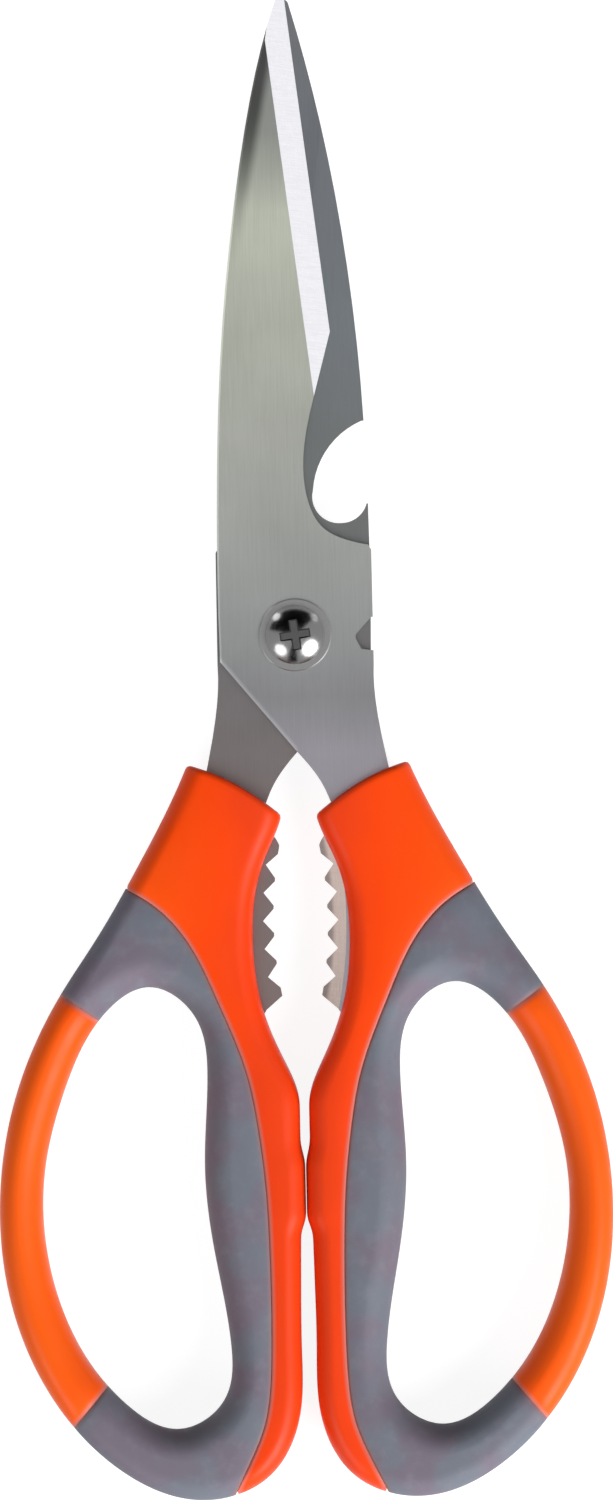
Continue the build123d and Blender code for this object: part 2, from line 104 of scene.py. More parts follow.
class NodeBench:
    """Adds and joins the shader nodes of one material or world."""

    def __init__(self, tree: NodeTree) -> None:
        """Empty the tree and keep it."""
        self.tree = tree
        tree.nodes.clear()

    def add(self, kind: str, **settings: object) -> Node:
        """Add one node and set its properties.

        Args:
            kind: the node's type name in Blender, without ShaderNode.
            settings: properties of the node, by name.

        Returns:
            The new node.
        """
        node = self.tree.nodes.new("ShaderNode" + kind)
        for name, value in settings.items():
            setattr(node, name, value)
        return node

    def feed(self, node: Node, **sockets: object) -> Node:
        """Give the node's inputs a constant or a link each.

        Args:
            node: the node to feed.
            sockets: value or output socket by input name, with _ for a space.

        Returns:
            The same node.
        """
        for name, value in sockets.items():
            self.join(value, node.inputs[name.replace("_", " ")])
        return node

    def join(self, value: object, target: NodeSocket) -> None:
        """Link a socket to a target, or set a constant on it.

        Args:
            value: socket, number, vector, or colour of three parts, which is opaque.
            target: the input to reach.
        """
        if isinstance(value, NodeSocket):
            self.tree.links.new(value, target)
        else:
            target.default_value = (*value, 1.0) if target.type == "RGBA" else value

    def math(self, operation: str, first: object, second: object = 0.0) -> NodeSocket:
        """Work out one arithmetic step.

        Args:
            operation: name of the Math node's operation.
            first: number or socket.
            second: number or socket.

        Returns:
            The result's socket.
        """
        node = self.add("Math", operation=operation)
        self.join(first, node.inputs[0])
        self.join(second, node.inputs[1])
        return node.outputs[0]

    def span(
        self, value: object, low: float, high: float, start: float = 0.0, end: float = 1.0,
        smooth: bool = True,
    ) -> NodeSocket:
        """Map a value from one range to another, clamped at both ends.

        Args:
            value: the socket to map.
            low: input that gives start.
            high: input that gives end.
            start: result at low.
            end: result at high.
            smooth: whether the way between the ends is eased.

        Returns:
            The mapped value's socket.
        """
        kind = "SMOOTHSTEP" if smooth else "LINEAR"
        node = self.add("MapRange", interpolation_type=kind, clamp=True)
        for place, item in enumerate((value, low, high, start, end)):
            self.join(item, node.inputs[place])
        return node.outputs[0]

    def fade(
        self, length: object, reach: tuple, share: float = 1.0, smooth: bool = True,
    ) -> NodeSocket:
        """Share that goes from none at one length to full at another.

        Args:
            length: socket with a length in metres.
            reach: millimetres where the share is none and where it is full.
            share: the full share.
            smooth: whether the way between is eased.

        Returns:
            The share's socket.
        """
        return self.span(length, reach[0] * MM, reach[1] * MM, 0.0, share, smooth)

    def spread(self, pattern: object, low: float, high: float, smooth: bool = True) -> NodeSocket:
        """Map the middle of a noise pattern, where nearly all of it lies, to a range.

        Args:
            pattern: the pattern's socket.
            low: result at the lower end.
            high: result at the upper end.
            smooth: whether the way between is eased.

        Returns:
            The mapped value's socket.
        """
        return self.span(pattern, *NOISE_MIDDLE, low, high, smooth)

    def by_seam_highlight(self, reach: tuple, share: float) -> NodeSocket:
        """Share of the highlight painted beside a moulding's seam, read from the distances kept on its
        points.

        Args:
            reach: millimetres where the share is none and where it is full.
            share: the full share.

        Returns:
            The share's socket.
        """
        near = self.add("Attribute", attribute_name=SEAM_NAME)
        return self.span(near.outputs["Fac"], *reach, 0.0, share)

    def seen(self) -> NodeSocket:
        """Tell the rays that look at a thing from those that light it.

        Returns:
            One for a camera, glossy or transmission ray, and zero for the others.
        """
        path = self.add("LightPath").outputs
        either = self.math("MAXIMUM", path["Is Camera Ray"], path["Is Glossy Ray"])
        return self.math("MAXIMUM", either, path["Is Transmission Ray"])

    def spot(self) -> NodeSocket:
        """Coordinates in the frame of the part."""
        return self.add("TexCoord").outputs["Object"]

    def parts(self, vector: NodeSocket) -> tuple:
        """The X, Y and Z sockets of a vector."""
        return tuple(self.feed(self.add("SeparateXYZ"), Vector=vector).outputs)

    def noise(
        self, vector: object, scale: float, detail: float = 2.0, rough: float = 0.5,
    ) -> NodeSocket:
        """Read a noise pattern between 0 and 1.

        Args:
            vector: the place to read it at.
            scale: cells per metre.
            detail: octaves.
            rough: share of each further octave.

        Returns:
            The pattern's socket.
        """
        node = self.add("TexNoise")
        self.feed(node, Vector=vector, Scale=scale, Detail=detail, Roughness=rough)
        return node.outputs["Fac"]

    def strokes(self, vector: object, scale: tuple, turn: float = 0.0) -> NodeSocket:
        """Noise drawn out into strokes.

        Args:
            vector: the coordinates.
            scale: cells per metre along X, Y and Z.
            turn: degrees around Z that bring the strokes' own axes in line.

        Returns:
            The pattern's socket.
        """
        turned = self.add("VectorRotate", rotation_type="Z_AXIS")
        self.feed(turned, Vector=vector, Angle=radians(turn))
        node = self.add("Mapping")
        self.feed(node, Vector=turned.outputs[0], Scale=scale)
        return self.noise(node.outputs[0], 1.0, 3.0, 0.6)

    def beside(self, vector: object, line: tuple) -> NodeSocket:
        """Distance from a line in the plane, with its sign.

        Args:
            vector: the coordinates.
            line: X and Y of the line's unit normal, and its distance from the origin in
                millimetres.

        Returns:
            Metres on the normal's side of the line.
        """
        node = self.add("VectorMath", operation="DOT_PRODUCT")
        self.join(vector, node.inputs[0])
        self.join((line[0], line[1], 0.0), node.inputs[1])
        return self.math("SUBTRACT", node.outputs["Value"], line[2] * MM)

    def centred(self, vector: object, centre: tuple, upright: float = 1.0) -> NodeSocket:
        """Coordinates counted from an upright axis.

        Args:
            vector: the coordinates.
            centre: X and Y of the axis, in millimetres.
            upright: factor on Z.

        Returns:
            The new coordinates' socket.
        """
        node = self.add("Mapping")
        away = (-centre[0] * MM, -centre[1] * MM, 0.0)
        self.feed(node, Vector=vector, Location=away, Scale=(1.0, 1.0, upright))
        return node.outputs[0]

    def around(self, vector: object, centre: tuple) -> NodeSocket:
        """Distance from an upright axis.

        Args:
            vector: the coordinates.
            centre: X and Y of the axis, in millimetres.

        Returns:
            The distance in metres.
        """
        node = self.add("VectorMath", operation="LENGTH")
        self.join(self.centred(vector, centre, 0.0), node.inputs[0])
        return node.outputs["Value"]

    def blend(self, factor: object, first: object, second: object, mode: str = "MIX") -> NodeSocket:
        """Mix two colours.

        Args:
            factor: share of the second colour.
            first: colour or socket.
            second: colour or socket.
            mode: name of the blend mode.

        Returns:
            The mixed colour's socket.
        """
        node = self.add("Mix", data_type="RGBA", blend_type=mode)
        for name, value in (("Factor", factor), ("A", first), ("B", second)):
            self.join(value, next(s for s in node.inputs if s.name == name and s.enabled))
        return next(s for s in node.outputs if s.enabled)

    def ramp(self, factor: object, stops: tuple) -> NodeSocket:
        """Run a value through colour stops.

        Args:
            factor: the value, 0 to 1.
            stops: pairs of place and linear colour.

        Returns:
            The colour's socket.
        """
        node = self.add("ValToRGB")
        band = node.color_ramp
        while len(band.elements) < len(stops):
            band.elements.new(0.5)
        for element, (place, colour) in zip(band.elements, stops):
            element.position = place
            element.color = (*colour, 1.0)
        self.join(factor, node.inputs[0])
        return node.outputs[0]

    def bump(
        self, height: object, distance: float, strength: float, normal: object = None,
    ) -> NodeSocket:
        """Turn a height pattern into a normal.

        Args:
            height: the pattern's socket.
            distance: height of the pattern in metres.
            strength: share of the effect.
            normal: a normal to build on.

        Returns:
            The normal's socket.
        """
        node = self.add("Bump")
        self.feed(node, Height=height, Distance=distance, Strength=strength)
        if normal is not None:
            self.join(normal, node.inputs["Normal"])
        return node.outputs[0]


def linear(red: int, green: int, blue: int) -> tuple:
    """Turn a colour as a screen shows it, 0 to 255, into linear light.

    Args:
        red: red level.
        green: green level.
        blue: blue level.

    Returns:
        The three linear parts.
    """
    level = np.array([red, green, blue]) / 255.0
    curve = ((level + 0.055) / 1.055) ** 2.4
    return tuple(float(v) for v in np.where(level <= 0.04045, level / 12.92, curve))


@dataclass(frozen=True)
class Finish:
    """What every finish has: a name, a kind of shader and a way to feed it."""

    name: str
    shader: ClassVar[str] = "BsdfPrincipled"

    def material(self) -> Material:
        """Make the material.

        Returns:
            The finished material.
        """
        made = bpy.data.materials.new(self.name)
        made.use_nodes = True
        bench = NodeBench(made.node_tree)
        shader = bench.add(self.shader)
        bench.join(shader.outputs[0], bench.add("OutputMaterial").inputs[0])
        self.dress(bench, shader)
        return made

    def dress(self, bench: NodeBench, shader: Node) -> None:
        """Feed the shader. Each finish has its own way."""
        raise NotImplementedError


@dataclass(frozen=True)
class GroundSteel(Finish):
    """Blade steel: fine brushing along the blade, and bevels ground across with a painted highlight.

    The stops are heights along the blade in millimetres with the tone there, a painted reflection of
    the surroundings that the gain raises. The bevels are told from flats, chamfers and walls by how
    far their normal leans. Below the pivot the bevel is the jaw's, whose tooth tips are painted dark
    as shade. Two lines are given by unit normal and distance: along the first the spine darkens
    towards the tip as painted shade, along the second the corner of the shank gets a painted
    highlight. A pair of lengths gives where an effect begins and where it is full.
    """

    # Tones along the blade: a painted reflection of the surroundings, raised by the gain.
    stops: tuple = ()
    # Near white tones of the bevel and the jaw: painted highlights on ground steel.
    bevel: tuple = (0.8, 0.8, 0.84)
    jaw: tuple = (0.6, 0.52, 0.5)
    gain: float = 1.55
    jaw_centre: tuple = (-51.8, -24.35)
    # Painted shade along the spine towards the tip.
    painted_shade_line: tuple | None = None
    # Painted highlight on the corner of the shank.
    painted_highlight_line: tuple | None = None
    edge_angle: float = 6.7
    low_angle: tuple = (0.3, 0.3, 0.3)
    flat_roughness: float = 0.4
    bevel_roughness: float = 0.3
    flat_lean: tuple = (0.985, 0.94)
    chamfer_lean: tuple = (0.75, 0.84)
    # Reach, rise and share of the painted shade along the spine.
    painted_shade_reach: tuple = (2.4, 0.8)
    painted_shade_rise: tuple = (64.0, 90.0)
    painted_shade_share: float = 0.72
    # Reach, side, share and tone of the painted highlight on the shank's corner.
    painted_highlight_reach: tuple = (0.65, 0.1)
    painted_highlight_side: tuple = (0.3, -0.3)
    painted_highlight_share: float = 0.3
    painted_highlight_tone: tuple = (0.9, 0.9, 0.92)
    jaw_start: tuple = (-6.0, -9.0)
    # Painted shade on the jaw's tooth tips.
    tip_shade_radii: tuple = (56.8, 56.0)
    tip_shade_share: float = 0.6
    tip_shade_tone: tuple = (0.1, 0.1, 0.11)
    brush_scale: tuple = (9000.0, 160.0, 9000.0)
    brush_levels: tuple = (0.94, 1.06)
    grind_scale: tuple = (350.0, 6500.0, 350.0)
    grind_levels: tuple = (0.94, 1.04)
    cloud_scale: float = 90.0
    unevenness: tuple = (-0.05, 0.05)
    stroke_depth: float = 0.000004
    stroke_strength: float = 0.5

    def dress(self, bench: NodeBench, shader: Node) -> None:
        """Lay brushing, a painted reflection along the blade, painted shade and highlights, and ground
        bevels.

        Args:
            bench: where the nodes go.
            shader: the shader to feed.
        """
        place = bench.add("TexCoord").outputs
        spot = place["Object"]
        x, height, _ = bench.parts(spot)
        upright = bench.math("ABSOLUTE", bench.parts(place["Normal"])[2])
        off_flat = bench.span(upright, *self.flat_lean)
        ground = bench.math("MULTIPLY", off_flat, bench.span(upright, *self.chamfer_lean))
        low, high = self.stops[0][0], self.stops[-1][0]
        stops = tuple(
            ((y - low) / (high - low), tuple(self.gain * v for v in tone)) for y, tone in self.stops
        )
        # Painted reflection: the tone along the blade.
        tone = bench.ramp(bench.fade(height, (low, high), smooth=False), stops)
        # Painted shade: the spine darkens towards the tip.
        if self.painted_shade_line:
            near = bench.fade(bench.beside(spot, self.painted_shade_line), self.painted_shade_reach)
            shade = bench.math("MULTIPLY", near, bench.fade(height, self.painted_shade_rise, self.painted_shade_share))
            tone = bench.blend(shade, tone, (0.0, 0.0, 0.0))
        # Painted highlight on the corner of the shank.
        if self.painted_highlight_line:
            near = bench.fade(bench.beside(spot, self.painted_highlight_line), self.painted_highlight_reach)
            painted_highlight = bench.math("MULTIPLY", near, bench.fade(x, self.painted_highlight_side, self.painted_highlight_share))
            tone = bench.blend(painted_highlight, tone, self.painted_highlight_tone)
        brushing = bench.strokes(spot, self.brush_scale)
        cloud = bench.spread(bench.noise(spot, self.cloud_scale), *self.unevenness, False)
        level = bench.math("ADD", bench.spread(brushing, *self.brush_levels, False), cloud)
        flat = bench.blend(1.0, tone, level, "MULTIPLY")
        grinding = bench.strokes(spot, self.grind_scale, self.edge_angle)
        # Painted shade darkens the tooth tips.
        tips = bench.fade(bench.around(spot, self.jaw_centre), self.tip_shade_radii, self.tip_shade_share)
        jaw = bench.blend(tips, self.jaw, self.tip_shade_tone)
        # Painted highlight: the bevels' near white tones, with the grinding strokes.
        bright = bench.blend(bench.fade(height, self.jaw_start), self.bevel, jaw)
        level = bench.spread(grinding, *self.grind_levels, False)
        bright = bench.blend(1.0, bright, level, "MULTIPLY")
        colour = bench.blend(ground, flat, bright)
        rough = bench.span(ground, 0.0, 1.0, self.flat_roughness, self.bevel_roughness, False)
        rough = bench.math("ADD", rough, bench.spread(brushing, *self.unevenness, False))
        marks = bench.blend(ground, brushing, grinding)
        normal = bench.bump(marks, self.stroke_depth, self.stroke_strength)
        bench.feed(shader, Base_Color=colour, Metallic=1.0, Roughness=rough, Normal=normal)
        bench.feed(shader, Specular_Tint=self.low_angle)


@dataclass(frozen=True)
class PolishedSteel(Finish):
    """Turned and polished steel with faint rings around the pivot.

    The recess is the height and the radius below and within which a socket is painted dark as shade.
    The wear gives two levels of the scratches and what each adds to the roughness.
    """

    tone: float = 0.2
    roughness: float = 0.16
    recess: tuple | None = None
    recess_edge: float = 0.1
    # Share and tone of the painted shade in the recess.
    recess_shade_share: float = 0.5
    dirt: tuple = (0.01, 0.01, 0.01)
    scratched: float = 0.8
    pivot: tuple = (0.0, 15.65)
    scratch_scale: tuple = (6000.0, 700.0, 3000.0)
    scratch_angle: float = 35.0
    scratch_share: float = 0.25
    wear: tuple = (0.35, 0.75, 0.0, 0.1)
    ring_scale: float = 900.0
    ring_waver: float = 1.5
    ring_depth: float = 0.000002
    ring_strength: float = 0.3

    def dress(self, bench: NodeBench, shader: Node) -> None:
        """Lay turning rings and light scratches.

        Args:
            bench: where the nodes go.
            shader: the shader to feed.
        """
        spot = bench.spot()
        rings = bench.add("TexWave", wave_type="RINGS", rings_direction="Z")
        bench.feed(rings, Vector=bench.centred(spot, self.pivot), Scale=self.ring_scale)
        bench.feed(rings, Distortion=self.ring_waver, Detail=2.0)
        scratches = bench.strokes(spot, self.scratch_scale, self.scratch_angle)
        worn = bench.math("ADD", bench.span(scratches, *self.wear), self.roughness)
        clean, dull = (self.tone,) * 3, (self.tone * self.scratched,) * 3
        colour = bench.blend(bench.spread(scratches, 0.0, self.scratch_share), clean, dull)
        # Painted shade darkens the socket of the screw's recess.
        if self.recess:
            top, radius = self.recess
            deep = bench.fade(bench.parts(spot)[2], (top, top - self.recess_edge))
            reach = (radius, radius - self.recess_edge)
            within = bench.fade(bench.around(spot, self.pivot), reach, self.recess_shade_share)
            colour = bench.blend(bench.math("MULTIPLY", deep, within), colour, self.dirt)
        normal = bench.bump(rings.outputs[1], self.ring_depth, self.ring_strength)
        bench.feed(shader, Base_Color=colour, Metallic=1.0, Roughness=worn, Normal=normal)


@dataclass(frozen=True)
class HardPlastic(Finish):
    """Glossy moulded orange, darker and redder towards the middle as painted shade between the
    handles, with a pale line painted along the seam as a highlight.

    The stops are distances from the plane between the handles in millimetres, with the tone there; the
    darker tones near the plane are painted shade.
    """

    # Darker and redder near the middle as painted shade between the handles, yellower outwards.
    stops: tuple = (
        (0.0, (0.78, 0.052, 0.006)), (6.0, (0.84, 0.052, 0.006)), (12.0, (0.96, 0.062, 0.002)),
        (25.0, (0.95, 0.085, 0.003)), (40.0, (0.92, 0.115, 0.006)),
    )
    # Pale tone painted along the seam as a highlight.
    seam: tuple = (0.52, 0.17, 0.14)
    seam_reach: tuple = (0.8, 0.1)
    seam_share: float = 0.8
    cloud_scale: float = 70.0
    ripple_scale: float = 260.0
    ripple_depth: float = 0.00003
    grain_scale: float = 2600.0
    grain_depth: float = 0.000008
    unevenness: tuple = (-0.05, 0.05)
    roughness: float = 0.4
    shine: float = 0.16

    def dress(self, bench: NodeBench, shader: Node) -> None:
        """Lay the oranges, the seam line and a fine moulded grain.

        Args:
            bench: where the nodes go.
            shader: the shader to feed.
        """
        spot = bench.spot()
        out = bench.math("ABSOLUTE", bench.parts(spot)[0])
        width = self.stops[-1][0]
        cloud = bench.spread(bench.noise(spot, self.cloud_scale), *self.unevenness)
        share = bench.math("ADD", bench.fade(out, (0.0, width), smooth=False), cloud)
        # The darker tones towards the middle are painted shade.
        colour = bench.ramp(share, tuple((gap / width, tone) for gap, tone in self.stops))
        # Painted highlight along the seam.
        colour = bench.blend(bench.by_seam_highlight(self.seam_reach, self.seam_share), colour, self.seam)
        ripple = bench.noise(spot, self.ripple_scale)
        rough = bench.math("ADD", bench.spread(ripple, *self.unevenness), self.roughness)
        grained = bench.bump(bench.noise(spot, self.grain_scale, 2.0, 0.55), self.grain_depth, 0.5)
        normal = bench.bump(ripple, self.ripple_depth, 0.35, grained)
        bench.feed(shader, Base_Color=colour, Roughness=rough, Normal=normal)
        bench.feed(shader, Specular_IOR_Level=self.shine)


@dataclass(frozen=True)
class SoftRubber(Finish):
    """Matt grey overmoulding: bluish with violet clouds and a fine eroded grain.

    The rub levels give two levels of the rubbed spots and their share at each.
    """

    blue: tuple = (0.15, 0.165, 0.2)
    violet: tuple = (0.165, 0.14, 0.18)
    rub: tuple = (0.3, 0.3, 0.34)
    # Reddish tone painted along the seam as a highlight.
    seam: tuple = (0.3, 0.14, 0.12)
    seam_reach: tuple = (0.7, 0.1)
    seam_share: float = 0.5
    cloud_scale: float = 110.0
    cloud_edges: tuple = (0.38, 0.62)
    rub_scale: float = 420.0
    rub_levels: tuple = (0.45, 0.8, 0.0, 0.18)
    grain_scale: float = 3800.0
    grain_depth: float = 0.000014
    unevenness: tuple = (-0.07, 0.07)
    roughness: float = 0.62
    shine: float = 0.2

    def dress(self, bench: NodeBench, shader: Node) -> None:
        """Lay the two greys, rubbed spots and the grain.

        Args:
            bench: where the nodes go.
            shader: the shader to feed.
        """
        spot = bench.spot()
        cloud = bench.noise(spot, self.cloud_scale, 3.0, 0.55)
        colour = bench.blend(bench.span(cloud, *self.cloud_edges), self.blue, self.violet)
        rubbed = bench.noise(spot, self.rub_scale, 3.0, 0.6)
        colour = bench.blend(bench.span(rubbed, *self.rub_levels), colour, self.rub)
        # Painted highlight along the seam.
        colour = bench.blend(bench.by_seam_highlight(self.seam_reach, self.seam_share), colour, self.seam)
        grain = bench.noise(spot, self.grain_scale, 2.0, 0.6)
        rough = bench.math("ADD", bench.spread(rubbed, *self.unevenness), self.roughness)
        normal = bench.bump(grain, self.grain_depth, 0.6)
        bench.feed(shader, Base_Color=colour, Roughness=rough, Normal=normal)
        bench.feed(shader, Specular_IOR_Level=self.shine)


@dataclass(frozen=True)
class PaleFloor(Finish):
    """The floor's matt grey, which glows white where it is looked at."""

    tone: tuple = (0.3, 0.3, 0.3)
    glow: float = 0.9

    def dress(self, bench: NodeBench, shader: Node) -> None:
        """Lay the tone and the glow.

        Args:
            bench: where the nodes go.
            shader: the shader to feed.
        """
        glow = bench.span(bench.seen(), 0.0, 1.0, 0.0, self.glow, False)
        bench.feed(shader, Base_Color=self.tone, Roughness=0.9, Specular_IOR_Level=0.1)
        bench.feed(shader, Emission_Color=(1.0, 1.0, 1.0), Emission_Strength=glow)


@dataclass(frozen=True)
class DarkCard(Finish):
    """The dull black of the cards."""

    shader: ClassVar[str] = "BsdfDiffuse"
    tone: tuple = (0.004, 0.004, 0.004)

    def dress(self, bench: NodeBench, shader: Node) -> None:
        """Lay the black."""
        bench.feed(shader, Color=self.tone)


def hang(name: str, spots: np.ndarray, faces: list, finish: Material) -> Object:
    """Put vertices and faces into a new object of the scene.

    Args:
        name: the object's name.
        spots: vertices in metres, one row each.
        faces: lists of indices.
        finish: the material.

    Returns:
        The object.
    """
    mesh = bpy.data.meshes.new(name)
    mesh.from_pydata(spots.tolist(), [], faces)
    mesh.materials.append(finish)
    made = bpy.data.objects.new(name, mesh)
    bpy.context.scene.collection.objects.link(made)
    return made


def smooth_curve(
    points: tuple, closed: bool = False, start: tuple | None = None, finish: tuple | None = None,
    spacing: float = 0.25,
) -> np.ndarray:
    """Run a smooth curve through points in the plane.

    Between two points the curve is the cubic with the way given at both, and the ways are
    solved so that the bend is the same on both sides of every point.

    Args:
        points: the points, in millimetres.
        closed: whether the last point joins the first.
        start: the way at the first point, or none for a straight end.
        finish: the way at the last point, or none for a straight end.
        spacing: length between samples.

    Returns:
        The samples, one row each. A closed curve doesn't repeat its first.
    """
    knots = np.asarray(points, float)
    if closed:
        knots = np.vstack([knots, knots[:1]])
    gaps = np.linalg.norm(np.diff(knots, axis=0), axis=1)
    slopes = np.diff(knots, axis=0) / gaps[:, None]
    count = len(knots)
    grid = np.zeros((count, count))
    right = np.zeros((count, 2))
    inner = np.arange(1, count - 1)
    grid[inner, inner - 1] = gaps[1:]
    grid[inner, inner] = 2 * (gaps[1:] + gaps[:-1])
    grid[inner, inner + 1] = gaps[:-1]
    right[inner] = 3 * (gaps[1:, None] * slopes[:-1] + gaps[:-1, None] * slopes[1:])
    if closed:
        grid[0, [0, 1, -2]] = 2 * (gaps[0] + gaps[-1]), gaps[-1], gaps[0]
        right[0] = 3 * (gaps[0] * slopes[-1] + gaps[-1] * slopes[0])
        grid[-1, [0, -1]] = 1, -1
    else:
        for row, near, way in ((0, 1, start), (count - 1, count - 2, finish)):
            if way is None:
                grid[row, [row, near]] = 2, 1
                right[row] = 3 * slopes[min(row, near)]
            else:
                grid[row, row] = 1
                right[row] = np.asarray(way, float) / np.linalg.norm(way)
    ways = np.linalg.solve(grid, right)
    steps = np.maximum(2, np.ceil(gaps / spacing).astype(int))
    piece = np.repeat(np.arange(count - 1), steps)
    first = np.repeat(np.cumsum(steps) - steps, steps)
    share = ((np.arange(len(piece)) - first) / np.repeat(steps, steps))[:, None]
    span = gaps[piece, None]
    curve = (
        (2 * share**3 - 3 * share**2 + 1) * knots[piece]
        + (share**3 - 2 * share**2 + share) * span * ways[piece]
        + (3 * share**2 - 2 * share**3) * knots[piece + 1]
        + (share**3 - share**2) * span * ways[piece + 1]
    )
    return curve if closed else np.vstack([curve, knots[-1:]])


def crossings(here: np.ndarray, way: np.ndarray, run: np.ndarray) -> tuple:
    """Cross lines with the pieces of a run.

    With a line here + a * way and a piece there + b * other, both shares come from cross
    products: a = (there - here) x other / (way x other), and b the same with way on top.

    Args:
        here: starts of the lines, one row each.
        way: their ways.
        run: points of the run.

    Returns:
        Both shares, a row for each line and a column for each piece.
    """
    here, way = here[:, None], way[:, None]
    there, other = run[None, :-1], np.diff(run, axis=0)[None]
    across = way[..., 0] * other[..., 1] - way[..., 1] * other[..., 0]
    across = np.where(np.abs(across) < TINY, TINY, across)
    off = there - here
    along = (off[..., 0] * other[..., 1] - off[..., 1] * other[..., 0]) / across
    return along, (off[..., 0] * way[..., 1] - off[..., 1] * way[..., 0]) / across


def meeting(first: np.ndarray, second: np.ndarray) -> tuple:
    """Find where two runs of straight pieces cross first.

    Each pair of pieces is solved for the share along both at which they meet.

    Args:
        first: points of one run.
        second: points of the other.

    Returns:
        The point, the place along the first run and along the second, in points.
    """
    along, beside = crossings(first[:-1], np.diff(first, axis=0), second)
    hit = (along >= 0) & (along <= 1) & (beside >= 0) & (beside <= 1)
    row, column = np.argwhere(hit)[0]
    share = along[row, column]
    point = first[row] + share * (first[row + 1] - first[row])
    return point, row + share, column + beside[row, column]


def even(curve: np.ndarray, spacing: float) -> np.ndarray:
    """Space the points of an open run evenly along its length.

    Args:
        curve: the run's points.
        spacing: length between the new points.

    Returns:
        The new points, with both ends kept.
    """
    length = np.concatenate([[0.0], np.cumsum(np.linalg.norm(np.diff(curve, axis=0), axis=1))])
    count = max(2, int(round(length[-1] / spacing)) + 1)
    at = np.linspace(0.0, length[-1], count)
    return np.stack([np.interp(at, length, curve[:, axis]) for axis in (0, 1)], axis=1)


def distance(spots: np.ndarray, run: np.ndarray) -> np.ndarray:
    """Distance of every spot to the nearest piece of a run.

    A spot is projected onto each straight piece, the projection is kept within the piece, and
    the least of the lengths to it counts.

    Args:
        spots: places in the plane, one row each.
        run: points of the run.

    Returns:
        One distance for each spot.
    """
    start, way = run[:-1], np.diff(run, axis=0)
    squared = np.maximum((way**2).sum(axis=1), TINY)
    least = []
    for block in np.array_split(spots, max(1, len(spots) // BLOCK)):
        off = block[:, None, :] - start[None]
        share = np.clip((off * way[None]).sum(axis=2) / squared, 0.0, 1.0)
        gap = off - share[..., None] * way[None]
        least.append(np.sqrt((gap**2).sum(axis=2).min(axis=1)))
    return np.concatenate(least)


def fall(gap: np.ndarray, reach: float, depth: float) -> np.ndarray:
    """Fall of a rounded edge: a quarter ellipse, full depth at the edge and none past its reach.

    Args:
        gap: distance from the edge.
        reach: how far in the round begins.
        depth: how far the surface falls at the edge.

    Returns:
        The fall at each distance.
    """
    short = 1.0 - np.clip(gap / reach, 0.0, 1.0)
    return depth * (1.0 - np.sqrt(1.0 - short**2))


